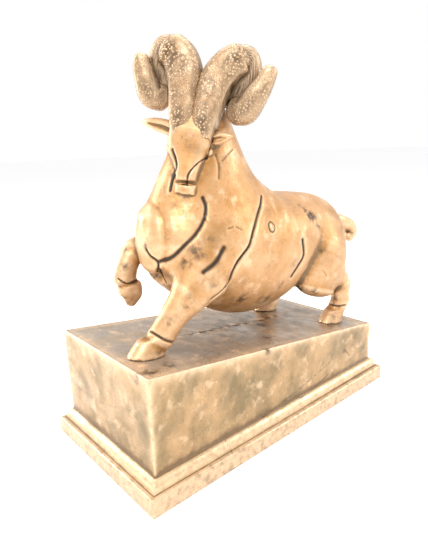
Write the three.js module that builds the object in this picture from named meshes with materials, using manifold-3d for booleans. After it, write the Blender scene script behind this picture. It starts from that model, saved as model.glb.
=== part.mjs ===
// Cast bronze ram with curled horns and one raised foreleg, standing on a plinth whose top slopes down to the rear.
// Millimetres, +Z up. The origin is the centre of the plinth's underside. The ram faces -Y, and its left flank is +X.
import * as THREE from "three";
import { mergeVertices } from "three/addons/utils/BufferGeometryUtils.js";
import Module from "manifold-3d";

const wasm = await Module();
wasm.setup();

// Plinth: a block with a sloping top on a wider slab, with a rounded moulding between them.
const BLOCK_LENGTH = 361;
const BLOCK_WIDTH = 172;
const SLAB_THICKNESS = 18;
const SLAB_OVERHANG = 13;
const TOP_HEIGHT = 105.2;
const TOP_SLOPE = -0.1302;
const MOULDING_HEIGHT = 12;
const MOULDING_WIDTH = 6.5;
const EDGE_ROUNDING = 1;
const CORNER_RADIUS = 1.5;
const CORNER_STEPS = 2;

// The clear gap between the hooves and the plinth.
const GAP = 0.3;

// Head frame: the head is turned to the ram's left and tipped a little, about the middle of the brow.
const HEAD_TURN = THREE.MathUtils.degToRad(38);
const HEAD_TIP = THREE.MathUtils.degToRad(10);
const BROW = new THREE.Vector3(38, -82, 340);

const X_AXIS = new THREE.Vector3(1, 0, 0);
const Z_AXIS = new THREE.Vector3(0, 0, 1);

// Height of the plinth's sloping top at a distance y along the plinth.
const topHeight = (y) => TOP_HEIGHT + TOP_SLOPE * y;

// A closed mesh through rings with equal numbers of points, each end closed by a fan to its middle.
function closedSkin(rings) {
  const count = rings[0].length;
  const middle = (ring) => ring.reduce((sum, p) => sum.add(p), new THREE.Vector3()).divideScalar(count);
  const points = rings.flat();
  points.push(middle(rings[0]), middle(rings.at(-1)));
  const first = points.length - 2;
  const last = points.length - 1;
  const faces = [];
  for (let k = 0; k < count; k += 1) {
    const next = (k + 1) % count;
    const tail = (rings.length - 1) * count;
    faces.push(first, next, k);
    faces.push(last, tail + k, tail + next);
    for (let r = 0; r < rings.length - 1; r += 1) {
      const low = r * count;
      const high = low + count;
      faces.push(low + k, low + next, high + next);
      faces.push(low + k, high + next, high + k);
    }
  }
  const geometry = new THREE.BufferGeometry().setFromPoints(points);
  geometry.setIndex(faces);
  return geometry;
}

// A geometry as a solid for joining and cutting, with its faces turned outwards.
function solid(geometry) {
  const bare = geometry.clone();
  bare.deleteAttribute("normal");
  bare.deleteAttribute("uv");
  const merged = mergeVertices(bare, 1e-4);
  const build = (triVerts) =>
    new wasm.Manifold(
      new wasm.Mesh({ numProp: 3, vertProperties: merged.attributes.position.array, triVerts }),
    );
  const triangles = new Uint32Array(merged.index.array);
  const made = build(triangles);
  return made.volume() > 0 ? made : build(triangles.reverse());
}

// A solid as a three.js geometry.
function geometryOf(made) {
  const mesh = made.getMesh();
  const geometry = new THREE.BufferGeometry();
  geometry.setAttribute("position", new THREE.BufferAttribute(mesh.vertProperties, 3));
  geometry.setIndex(new THREE.BufferAttribute(mesh.triVerts, 1));
  geometry.computeVertexNormals();
  return geometry;
}

// One place on a limb: its middle, its half width along the limb's side direction and its half depth.
const at = (x, y, z, across, deep) => ({ middle: new THREE.Vector3(x, y, z), across, deep });

// A sine or cosine bent towards its ends, which squares an oval.
const bent = (value, square) => Math.sign(value) * Math.abs(value) ** square;

// The other side of the ram for a station on its left side.
const mirrored = ({ middle, across, deep }) => at(-middle.x, middle.y, middle.z, across, deep);

// A limb: a section swept on a smooth line through its stations, with domed ends. The section is an oval when
// square is 1, and grows squarer as square falls.
function limb(stations, side, { sides = 14, steps = 2, dome = 0.7, square = 1 } = {}) {
  const line = new THREE.CatmullRomCurve3(stations.map((s) => s.middle), false, "catmullrom", 0.5);
  const sizes = new THREE.CatmullRomCurve3(
    stations.map((s) => new THREE.Vector3(s.across, s.deep, 0)), false, "catmullrom", 0.5);
  const ringAt = (t, push = 0, scale = 1) => {
    const along = line.getTangent(t);
    const wide = side.clone().addScaledVector(along, -side.dot(along)).normalize();
    const deep = along.clone().cross(wide);
    const size = sizes.getPoint(t).multiplyScalar(scale);
    const middle = line.getPoint(t).addScaledVector(along, push);
    return Array.from({ length: sides }, (_, k) => {
      const angle = (2 * Math.PI * k) / sides;
      return middle.clone()
        .addScaledVector(wide, bent(Math.cos(angle), square) * size.x)
        .addScaledVector(deep, bent(Math.sin(angle), square) * size.y);
    });
  };
  const spans = (stations.length - 1) * steps;
  const rings = Array.from({ length: spans + 1 }, (_, k) => ringAt(k / spans));
  if (dome > 0) {
    const reach = (s) => dome * Math.min(s.across, s.deep);
    for (const angle of [0.3 * Math.PI, 0.43 * Math.PI]) {
      const scale = Math.cos(angle);
      const push = Math.sin(angle);
      rings.unshift(ringAt(0, -push * reach(stations[0]), scale));
      rings.push(ringAt(1, push * reach(stations.at(-1)), scale));
    }
  }
  return solid(closedSkin(rings));
}

// An ellipsoid with the given middle and half sizes.
function ball(x, y, z, halfX, halfY, halfZ) {
  const geometry = new THREE.SphereGeometry(1, 12, 8).scale(halfX, halfY, halfZ).translate(x, y, z);
  return solid(geometry);
}

// Trunk: chest, barrel and rump in one oval form, deepest behind the shoulders.
function trunk() {
  const stations = [
    at(0, -108, 230, 18, 22),
    at(2, -96, 229, 44, 42),
    at(3, -70, 222, 58, 57),
    at(2, -35, 212, 65, 68),
    at(0, 10, 203, 68, 79),
    at(0, 55, 203, 67, 74),
    at(0, 98, 212, 61, 53),
    at(0, 138, 206, 54, 52),
    at(0, 168, 195, 45, 45),
    at(0, 194, 189, 28, 32),
  ];
  return limb(stations, X_AXIS, { sides: 24, dome: 0.3 });
}

// Neck: rises from the chest and leans towards the turned head.
function neck() {
  const stations = [
    at(6, -40, 210, 58, 80),
    at(6, -40, 232, 59, 82),
    at(8, -40, 264, 51, 76),
    at(12, -43, 293, 41, 59),
    at(15, -45, 320, 32, 43),
    at(17, -48, 346, 27, 31),
    at(18, -50, 362, 22, 25),
  ];
  return limb(stations, X_AXIS, { sides: 24, dome: 0.3 });
}

// Shoulder plate of the left side, from the withers down and forward to the elbow.
const SHOULDER = [
  at(26, -25, 268, 26, 28),
  at(35, -50, 240, 26, 28),
  at(43, -69, 212, 24, 25),
  at(43, -80, 190, 22, 24),
];

// Left foreleg: straight, leaning forward from the elbow to the fetlock.
function standingForeleg() {
  const shoulder = limb(SHOULDER, X_AXIS, { sides: 20 });
  const stations = [
    at(42, -80, 194, 24, 32),
    at(44, -100, 176, 18, 21),
    at(42, -113, 164, 15, 15.5),
    at(38, -125, 148, 13, 14),
    at(36, -131, 139, 13.5, 14.5),
  ];
  const pastern = limb([at(36, -131, 140, 11, 11), at(34, -143, 124, 11, 13)], X_AXIS);
  return [shoulder, limb(stations, X_AXIS), pastern, hoof(34, -147, 0)];
}

// Right foreleg: the forearm is held level and the shank hangs from the knee, with the toe pointing down.
function raisedForeleg() {
  const shoulder = limb([
    at(-26, -22, 268, 24, 24),
    at(-35, -44, 240, 25, 24),
    at(-42, -60, 216, 24, 24),
  ], X_AXIS, { sides: 18 });
  const forearm = limb([
    at(-40, -66, 211, 22, 30),
    at(-42, -86, 212, 17, 21),
    at(-42, -101, 215.5, 13.5, 14.5),
    at(-42, -109.5, 213.5, 13, 13.5),
  ], X_AXIS);
  const shank = limb([
    at(-42, -112, 209, 13, 13),
    at(-42, -119, 195, 12.5, 13),
    at(-42, -121.5, 184, 12, 14),
  ], X_AXIS);
  const toe = limb([
    at(-42, -117, 184, 8, 8),
    at(-42, -116.5, 176, 12, 14),
    at(-42, -114, 165, 10.5, 13),
    at(-42, -116, 154, 5, 6),
  ], X_AXIS, { dome: 0.6 });
  return [shoulder, forearm, shank, toe];
}

// Hind leg of the left side: heavy thigh, hock bent to the rear, cannon and hoof.
const THIGH = [
  at(30, 140, 212, 26, 44),
  at(42, 127, 187, 28, 42),
  at(47, 113, 161, 25, 42),
  at(49, 106, 142, 18, 34),
];
const GASKIN = [at(50, 122, 166, 16, 20), at(54, 139, 154, 14, 16), at(55, 150, 145, 13, 13)];
const CANNON = [at(55, 155, 140, 12, 14), at(55, 153, 124, 10.5, 14.5), at(54, 154, 112, 11, 16)];
const HIND_PASTERN = [at(54, 153, 112, 11, 12), at(52, 145, 98, 11, 14)];

function leftHindLeg() {
  const parts = [THIGH, GASKIN, CANNON, HIND_PASTERN].map((stations) => limb(stations, X_AXIS));
  return [...parts, hoof(52, 137, 0)];
}

// Right hind leg: set further forward under the belly.
function rightHindLeg() {
  const thigh = limb([
    at(-30, 140, 212, 26, 44),
    at(-42, 130, 188, 27, 42),
    at(-46, 120, 163, 22, 33),
    at(-44, 118, 142, 13, 17),
  ], X_AXIS);
  const cannon = limb([
    at(-44, 120, 146, 12, 15),
    at(-42, 121, 126, 10.5, 12),
    at(-40, 119, 113, 11, 13.5),
  ], X_AXIS);
  const pastern = limb([at(-40, 117, 113, 11, 12), at(-38, 110, 100, 11, 14)], X_AXIS);
  return [thigh, cannon, pastern, hoof(-38, 104, 0)];
}

// A cloven hoof with its toe to the front, wider at the ground, cut flat later by the plinth's top.
function hoof(x, y, turn) {
  const height = 16;
  const ground = topHeight(y);
  const levels = [
    { rise: height, forward: -3, across: 10, deep: 13 },
    { rise: height * 0.6, forward: 0, across: 12, deep: 16 },
    { rise: 0, forward: 3, across: 14, deep: 21 },
    { rise: -6, forward: 4, across: 14.5, deep: 22 },
  ];
  const sides = 16;
  const rings = levels.map(({ rise, forward, across, deep }) =>
    Array.from({ length: sides }, (_, k) => {
      const angle = (2 * Math.PI * k) / sides;
      const point = new THREE.Vector3(Math.cos(angle) * across, Math.sin(angle) * deep - forward, rise);
      return point.applyAxisAngle(Z_AXIS, turn).add(new THREE.Vector3(x, y, ground));
    }));
  const block = solid(closedSkin(rings));
  const cleft = solid(new THREE.BoxGeometry(2, 14, 24).translate(x, y - 24, ground + 4));
  return block.subtract(cleft);
}

// Tail: a short thick tail that leaves the rump, hangs and rolls up into a knob.
function tail() {
  const stations = [
    at(2, 196, 213, 8, 8),
    at(3, 216, 213.5, 8, 8),
    at(4, 233, 207, 8, 9),
    at(4, 246.5, 200, 9, 10),
    at(4, 251, 190, 10, 10),
    at(4, 245, 182, 8, 8),
  ];
  return limb(stations, X_AXIS);
}

// Head frame directions: towards the ram's left, forwards and up.
const FORWARD = new THREE.Vector3(Math.sin(HEAD_TURN), -Math.cos(HEAD_TURN), 0);
const SIDEWAYS = new THREE.Vector3(Math.cos(HEAD_TURN), Math.sin(HEAD_TURN), 0)
  .applyAxisAngle(FORWARD, -HEAD_TIP);
const UPWARD = FORWARD.clone().cross(SIDEWAYS).normalize();

// A station given in the head frame.
function onHead(side, front, up, across, deep) {
  const middle = BROW.clone()
    .addScaledVector(SIDEWAYS, side)
    .addScaledVector(FORWARD, front)
    .addScaledVector(UPWARD, up);
  return { middle, across, deep };
}

// Skull and muzzle, with a flat face that narrows to a square mouth, and the jaw behind it.
function skull() {
  const face = limb([
    onHead(0, -24, 12, 21, 22),
    onHead(-1, -20, -4, 22, 24),
    onHead(-1.5, -15, -20, 21, 20),
    onHead(1, -8, -36, 14, 15),
    onHead(2.5, -3, -50, 11, 12),
    onHead(3, -1, -61, 10.5, 9.5),
  ], SIDEWAYS, { sides: 20, dome: 0.2, square: 0.8 });
  const jaw = limb([
    onHead(2, -30, -14, 18, 18),
    onHead(3, -20, -36, 13, 14),
    onHead(3, -10, -54, 9, 9),
  ], SIDEWAYS);
  const eyes = [onHead(-20.5, -13, -20, 5, 5), onHead(19, -10, -18, 4, 4)].map(({ middle, across }) =>
    ball(middle.x, middle.y, middle.z, across, across, across));
  const { middle } = onHead(2.5, 10, -51, 0, 0);
  const mouth = solid(new THREE.BoxGeometry(26, 10, 1.6)
    .rotateZ(HEAD_TURN).translate(middle.x, middle.y, middle.z));
  return [...eyes, jaw, face.subtract(mouth)];
}

// The horns, each in three runs: up over the brow, down behind the arch, and out and up to the blunt tip.
const LEFT_HORN = [
  [
    onHead(9.5, -10, -6, 13, 11),
    onHead(11.5, -13, 14, 15, 13.5),
    onHead(13.5, -17, 32, 15, 15),
    onHead(17, -21, 50, 15, 16.5),
    onHead(25, -26, 63.5, 15, 16.5),
    onHead(34, -30, 71, 15, 16),
  ],
  [
    onHead(30, -28, 68, 14, 14),
    onHead(39, -32, 70, 15, 15),
    onHead(43, -35, 57, 15, 14),
    onHead(41.5, -36, 44, 14, 14),
    onHead(37, -36, 31, 14, 14),
  ],
  [
    onHead(39.5, -30, 24, 14, 13.5),
    onHead(48.5, -23, 26, 13, 13),
    onHead(56.5, -20, 40, 11.5, 11.5),
    onHead(62, -20, 52, 9.5, 9.5),
    onHead(66, -20, 63.5, 7.5, 7.5),
  ],
];
const RIGHT_HORN = [
  [
    onHead(-9.5, -10, -6, 13, 11),
    onHead(-11.5, -13, 14, 15, 13.5),
    onHead(-13.5, -17, 32, 15, 15),
    onHead(-16, -21, 50, 15, 17.5),
    onHead(-23.5, -26, 65, 15, 17.5),
    onHead(-34, -30, 73, 15, 16.5),
  ],
  [
    onHead(-30, -28, 71, 14, 14),
    onHead(-40, -32, 71.5, 15, 15),
    onHead(-45, -35, 59, 15, 14.5),
    onHead(-43, -36, 46, 14, 14.5),
    onHead(-38, -36, 34, 14, 14),
  ],
  [
    onHead(-41, -30, 27, 14, 13),
    onHead(-49.5, -23, 29.5, 13, 13),
    onHead(-55.5, -20, 42, 11.5, 11),
    onHead(-60, -20, 52, 9.5, 9.5),
    onHead(-62.5, -20, 61, 7.5, 7.5),
  ],
];

function horn(runs) {
  return runs.map((stations) => limb(stations, FORWARD, { sides: 12, square: 0.75 }));
}

// Leaf-shaped ears: the left one points out and forward, the right one out and back.
const LEFT_EAR = [
  onHead(15, -17, -6, 6, 5),
  onHead(24, -15, -4, 7, 5),
  onHead(33, -12, -2, 5, 4),
  onHead(40, -9, 0, 2, 2),
];
const RIGHT_EAR = [
  onHead(-18, -22, -2, 7, 6),
  onHead(-34, -26, 0, 7.5, 5.5),
  onHead(-49, -30, 1.5, 5.5, 4.5),
  onHead(-60, -34, 1.5, 2.5, 2.5),
];

// The poll: the low crown between the horns, and the temples behind them.
function poll() {
  const crown = limb([onHead(0, -26, 6, 12, 16), onHead(0, -28, 34, 9, 12), onHead(0, -29, 57, 6, 9)], SIDEWAYS);
  const temples = limb([onHead(-3, -34, -20, 25, 18), onHead(-3, -34, 4, 28, 20), onHead(-3, -34, 20, 23, 16)],
    SIDEWAYS, { sides: 18 });
  return [crown, temples];
}

// The ram, joined into one casting and cut flat a gap above the plinth.
function ramGeometry() {
  const parts = [
    trunk(),
    neck(),
    ...standingForeleg(),
    ...raisedForeleg(),
    ...leftHindLeg(),
    ...rightHindLeg(),
    tail(),
    ...skull(),
    ...horn(LEFT_HORN),
    ...horn(RIGHT_HORN),
    ...poll(),
    limb(LEFT_EAR, UPWARD, { sides: 10 }),
    limb(RIGHT_EAR, UPWARD, { sides: 10 }),
  ];
  const figure = parts.reduce((sum, piece) => sum.add(piece)).subtract(groundBelow());
  // Crossing surfaces can leave crumbs far smaller than a millimetre: only the casting itself is kept.
  const bodies = figure.decompose().sort((a, b) => b.volume() - a.volume());
  return geometryOf(bodies[0]);
}

// Everything below the plane of the plinth's top, a gap above it.
function groundBelow() {
  const half = BLOCK_LENGTH;
  const profile = new THREE.Shape([
    new THREE.Vector2(-half, -half),
    new THREE.Vector2(half, -half),
    new THREE.Vector2(half, topHeight(half) + GAP),
    new THREE.Vector2(-half, topHeight(-half) + GAP),
  ]);
  // The profile is drawn in the plane of length and height, and pushed across the plinth.
  const slice = new THREE.ExtrudeGeometry(profile, { depth: 2 * BLOCK_WIDTH, bevelEnabled: false });
  const turned = new THREE.Matrix4().makeBasis(
    new THREE.Vector3(0, 1, 0), new THREE.Vector3(0, 0, 1), new THREE.Vector3(1, 0, 0));
  return solid(slice.applyMatrix4(turned).translate(-BLOCK_WIDTH, 0, 0));
}

// A level of the plinth: the block's outline moved out by a distance, at a height that may follow the slope.
function plinthRing(outset, height) {
  const radius = CORNER_RADIUS;
  const halfWidth = BLOCK_WIDTH / 2 + outset - radius;
  const halfLength = BLOCK_LENGTH / 2 + outset - radius;
  const corners = [[1, 1], [-1, 1], [-1, -1], [1, -1]];
  return corners.flatMap(([signX, signY], quarter) =>
    Array.from({ length: CORNER_STEPS + 1 }, (_, k) => {
      const angle = (quarter + k / CORNER_STEPS) * (Math.PI / 2);
      const x = signX * halfWidth + Math.cos(angle) * radius;
      const y = signY * halfLength + Math.sin(angle) * radius;
      return new THREE.Vector3(x, y, height(y));
    }));
}

function plinthGeometry() {
  const level = (z) => () => z;
  const mouldingTop = SLAB_THICKNESS + MOULDING_HEIGHT;
  const rings = [
    plinthRing(SLAB_OVERHANG, level(0)),
    plinthRing(SLAB_OVERHANG, level(SLAB_THICKNESS - 2)),
    plinthRing(SLAB_OVERHANG - 2, level(SLAB_THICKNESS)),
    plinthRing(MOULDING_WIDTH, level(SLAB_THICKNESS)),
    plinthRing(MOULDING_WIDTH * 0.85, level(SLAB_THICKNESS + MOULDING_HEIGHT * 0.4)),
    plinthRing(MOULDING_WIDTH * 0.4, level(SLAB_THICKNESS + MOULDING_HEIGHT * 0.75)),
    plinthRing(0, level(mouldingTop)),
    plinthRing(0, (y) => topHeight(y) - EDGE_ROUNDING),
    plinthRing(-EDGE_ROUNDING, topHeight),
  ];
  return geometryOf(solid(closedSkin(rings)));
}

const bronze = (color, roughness) => new THREE.MeshStandardMaterial({ color, roughness, metalness: 0.85 });

const ram = new THREE.Mesh(ramGeometry(), bronze(0xa9794a, 0.42));
ram.name = "ram";

const plinth = new THREE.Mesh(plinthGeometry(), bronze(0x7d6544, 0.5));
plinth.name = "plinth";

const figurine = new THREE.Group();
figurine.name = "bronze_ram_on_plinth";
figurine.add(plinth, ram);

export default figurine;
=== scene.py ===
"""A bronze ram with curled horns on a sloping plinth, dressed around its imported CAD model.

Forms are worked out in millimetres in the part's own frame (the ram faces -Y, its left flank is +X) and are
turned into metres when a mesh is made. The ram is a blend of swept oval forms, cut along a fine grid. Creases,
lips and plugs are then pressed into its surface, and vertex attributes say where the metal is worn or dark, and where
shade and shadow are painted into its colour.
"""
import math

import bpy
import numpy as np
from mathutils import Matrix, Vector
from mathutils.bvhtree import BVHTree


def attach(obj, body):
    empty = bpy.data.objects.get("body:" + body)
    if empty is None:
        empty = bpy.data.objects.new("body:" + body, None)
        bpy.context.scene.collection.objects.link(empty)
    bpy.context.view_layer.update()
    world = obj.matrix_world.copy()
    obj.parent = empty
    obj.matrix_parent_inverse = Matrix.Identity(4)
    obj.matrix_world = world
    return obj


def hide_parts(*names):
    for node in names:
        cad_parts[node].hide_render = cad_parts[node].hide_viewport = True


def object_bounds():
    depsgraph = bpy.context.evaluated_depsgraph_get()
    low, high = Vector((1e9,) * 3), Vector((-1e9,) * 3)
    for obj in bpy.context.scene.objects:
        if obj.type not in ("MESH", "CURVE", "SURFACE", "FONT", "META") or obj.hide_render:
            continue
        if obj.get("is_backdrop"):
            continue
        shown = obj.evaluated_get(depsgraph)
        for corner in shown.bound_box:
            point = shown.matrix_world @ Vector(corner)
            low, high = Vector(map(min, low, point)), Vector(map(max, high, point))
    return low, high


MM = 0.001
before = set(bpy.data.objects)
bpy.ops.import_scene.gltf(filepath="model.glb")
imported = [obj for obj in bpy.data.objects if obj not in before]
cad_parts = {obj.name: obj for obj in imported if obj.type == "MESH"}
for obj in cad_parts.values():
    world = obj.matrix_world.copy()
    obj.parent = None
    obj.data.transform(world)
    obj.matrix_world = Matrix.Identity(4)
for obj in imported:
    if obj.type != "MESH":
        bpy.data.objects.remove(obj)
cad_box = [list(corner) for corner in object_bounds()]

# The photograph's frame and the camera that took it, in pixels, degrees and millimetres.
PHOTO_WIDTH = 428
PHOTO_HEIGHT = 540
FOCAL_PIXELS = 474.5
CAMERA_AT = np.array([411.5, -379.5, 323.8])
CAMERA_AZIMUTH = math.radians(49.286)
CAMERA_ELEVATION = math.radians(14.56)
CAMERA_ROLL = math.radians(-2.148)
SENSOR = 36.0

# The plinth's sizes, as in the solid model.
BLOCK_LENGTH = 361.0
BLOCK_WIDTH = 172.0
TOP_HEIGHT = 105.2
TOP_SLOPE = -0.1302
GAP = 0.3

# The head is turned to the ram's left and tipped a little, about the middle of the brow.
HEAD_TURN = math.radians(38)
HEAD_TIP = math.radians(10)
BROW = np.array([38.0, -82.0, 340.0])

X_AXIS = np.array([1.0, 0.0, 0.0])
Z_AXIS = np.array([0.0, 0.0, 1.0])
FORWARD = np.array([math.sin(HEAD_TURN), -math.cos(HEAD_TURN), 0.0])
LEVEL_SIDE = np.array([math.cos(HEAD_TURN), math.sin(HEAD_TURN), 0.0])
SIDEWAYS = math.cos(HEAD_TIP) * LEVEL_SIDE - math.sin(HEAD_TIP) * Z_AXIS
UPWARD = math.sin(HEAD_TIP) * LEVEL_SIDE + math.cos(HEAD_TIP) * Z_AXIS


def top_height(y):
    """Height of the plinth's sloping top at a distance y along it."""
    return TOP_HEIGHT + TOP_SLOPE * y


# Camera


def camera_axes():
    """The camera's right, up and backward directions."""
    back = np.array([
        math.sin(CAMERA_AZIMUTH) * math.cos(CAMERA_ELEVATION),
        -math.cos(CAMERA_AZIMUTH) * math.cos(CAMERA_ELEVATION),
        math.sin(CAMERA_ELEVATION),
    ])
    right = np.cross(Z_AXIS, back)
    right /= np.linalg.norm(right)
    up = np.cross(back, right)
    turned_right = math.cos(CAMERA_ROLL) * right + math.sin(CAMERA_ROLL) * up
    turned_up = math.cos(CAMERA_ROLL) * up - math.sin(CAMERA_ROLL) * right
    return turned_right, turned_up, back


def make_camera():
    right, up, back = camera_axes()
    data = bpy.data.cameras.new("camera")
    data.sensor_width = SENSOR
    data.lens = FOCAL_PIXELS / max(PHOTO_WIDTH, PHOTO_HEIGHT) * SENSOR
    data.clip_start = 0.01
    camera = bpy.data.objects.new("camera", data)
    for row in range(3):
        camera.matrix_world[row][0] = right[row]
        camera.matrix_world[row][1] = up[row]
        camera.matrix_world[row][2] = back[row]
        camera.matrix_world[row][3] = CAMERA_AT[row] * MM
    bpy.context.scene.collection.objects.link(camera)
    bpy.context.scene.camera = camera


def sight_line(pixel_x, pixel_y):
    """The direction in which the camera sees a pixel of the photograph."""
    right, up, back = camera_axes()
    across = (pixel_x - PHOTO_WIDTH / 2) / FOCAL_PIXELS
    rise = (PHOTO_HEIGHT / 2 - pixel_y) / FOCAL_PIXELS
    line = right * across + up * rise - back
    return line / np.linalg.norm(line)


# Swept oval forms and their distance fields


def smooth_rows(rows, per_span):
    """Rows of numbers joined by a Catmull-Rom line, with extra rows between them."""
    rows = np.asarray(rows, float)
    padded = np.vstack([2 * rows[0] - rows[1], rows, 2 * rows[-1] - rows[-2]])
    steps = np.arange(per_span)[:, None] / per_span
    pieces = []
    for before, start, end, after in zip(padded, padded[1:], padded[2:], padded[3:]):
        linear = (end - before) * steps
        square = (2 * before - 5 * start + 4 * end - after) * steps**2
        cube = (3 * start - before - 3 * end + after) * steps**3
        pieces.append(start + 0.5 * (linear + square + cube))
    pieces.append(rows[-1:])
    return np.vstack(pieces)


def unit(vectors):
    return vectors / np.linalg.norm(vectors, axis=-1, keepdims=True)


class Form:
    """An oval section swept along a smooth line, with rounded ends.

    Each station is x, y, z, half width along the side direction and half depth. power squares the section: 2 is
    an oval. heading holds every section level with one direction, instead of square to the line.
    """

    def __init__(self, stations, side=X_AXIS, power=2.0, dome=0.7, per_span=4, heading=None):
        rows = smooth_rows(stations, per_span)
        self.middle = rows[:, :3]
        self.size = np.maximum(rows[:, 3:5], 0.5)
        along = np.gradient(self.middle, axis=0) if heading is None else np.tile(heading, (len(rows), 1))
        self.along = unit(along)
        self.wide = unit(side - (self.along @ side)[:, None] * self.along)
        self.tall = np.cross(self.along, self.wide)
        self.power = power
        self.dome = dome
        self.travel = np.concatenate([[0.0], np.cumsum(np.linalg.norm(np.diff(self.middle, axis=0), axis=1))])

    def box(self, margin):
        reach = self.size.max(axis=1)[:, None] * 1.3 + margin
        return (self.middle - reach).min(axis=0), (self.middle + reach).max(axis=0)

    def section(self, offset_wide, offset_tall, half_wide, half_tall):
        """Distance to the section's outline, nearly: negative inside."""
        p = self.power
        wide = np.abs(offset_wide) / half_wide
        tall = np.abs(offset_tall) / half_tall
        total = np.maximum(wide**p + tall**p, 1e-9)
        radius = total ** (1 / p)
        slope = np.sqrt((wide ** (p - 1) / half_wide) ** 2 + (tall ** (p - 1) / half_tall) ** 2)
        slope = np.maximum(slope * radius ** (1 - p), 1e-4)
        return (radius - 1) / slope

    def distance(self, points):
        """Distance from each point to the form's surface, nearly: negative inside."""
        result = np.full(len(points), 1e3)
        ahead = np.einsum("ij,j->i", points - self.middle[0], self.along[0])
        result = np.minimum(result, self.cap(points, 0, np.minimum(ahead, 0), ahead < 0))
        for k in range(len(self.middle) - 1):
            further = np.einsum("ij,j->i", points - self.middle[k + 1], self.along[k + 1])
            span = np.nonzero((ahead >= 0) & (further < 0))[0]
            if len(span):
                share = (ahead[span] / (ahead[span] - further[span]))[:, None]
                mix = lambda values: values[k] * (1 - share) + values[k + 1] * share
                offset = points[span] - mix(self.middle)
                size = mix(self.size)
                wide = np.einsum("ij,ij->i", offset, mix(self.wide))
                tall = np.einsum("ij,ij->i", offset, mix(self.tall))
                result[span] = np.minimum(result[span], self.section(wide, tall, size[:, 0], size[:, 1]))
            ahead = further
        last = len(self.middle) - 1
        return np.minimum(result, self.cap(points, last, np.maximum(ahead, 0), ahead >= 0))

    def cap(self, points, k, beyond, where):
        """The rounded end at station k, for the points beyond it."""
        result = np.full(len(points), 1e3)
        chosen = np.nonzero(where)[0]
        if not len(chosen):
            return result
        offset = points[chosen] - self.middle[k]
        half_wide, half_tall = self.size[k]
        half_long = max(self.dome * min(half_wide, half_tall), 0.5)
        wide = offset @ self.wide[k] / half_wide
        tall = offset @ self.tall[k] / half_tall
        far = beyond[chosen] / half_long
        radius = np.sqrt(np.maximum(wide**2 + tall**2 + far**2, 1e-9))
        slope = np.sqrt((wide / half_wide) ** 2 + (tall / half_tall) ** 2 + (far / half_long) ** 2) / radius
        result[chosen] = (radius - 1) / np.maximum(slope, 1e-4)
        return result

    def place_on(self, points):
        """For points near the surface: how far along the form they lie, and how far across it."""
        nearest = np.full(len(points), 1e9)
        travel = np.zeros(len(points))
        lateral = np.zeros(len(points))
        for k in range(len(self.middle)):
            offset = points - self.middle[k]
            ahead = offset @ self.along[k]
            gap = np.abs(ahead) + 0.2 * np.linalg.norm(offset, axis=1)
            closer = gap < nearest
            nearest[closer] = gap[closer]
            travel[closer] = self.travel[k] + ahead[closer]
            lateral[closer] = offset[closer] @ self.tall[k]
        return travel, lateral


def ball(middle, halves):
    """A short form that is an ellipsoid with half sizes along X, Y and Z."""
    half_x, half_y, half_z = halves
    x, y, z = middle
    stations = [(x, y, z - 0.01, half_x, half_y), (x, y, z + 0.01, half_x, half_y)]
    return Form(stations, X_AXIS, dome=half_z / min(half_x, half_y), per_span=1)


def on_head(side, front, up, across, deep):
    """A station given in the head's own frame."""
    middle = BROW + side * SIDEWAYS + front * FORWARD + up * UPWARD
    return (*middle, across, deep)


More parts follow.
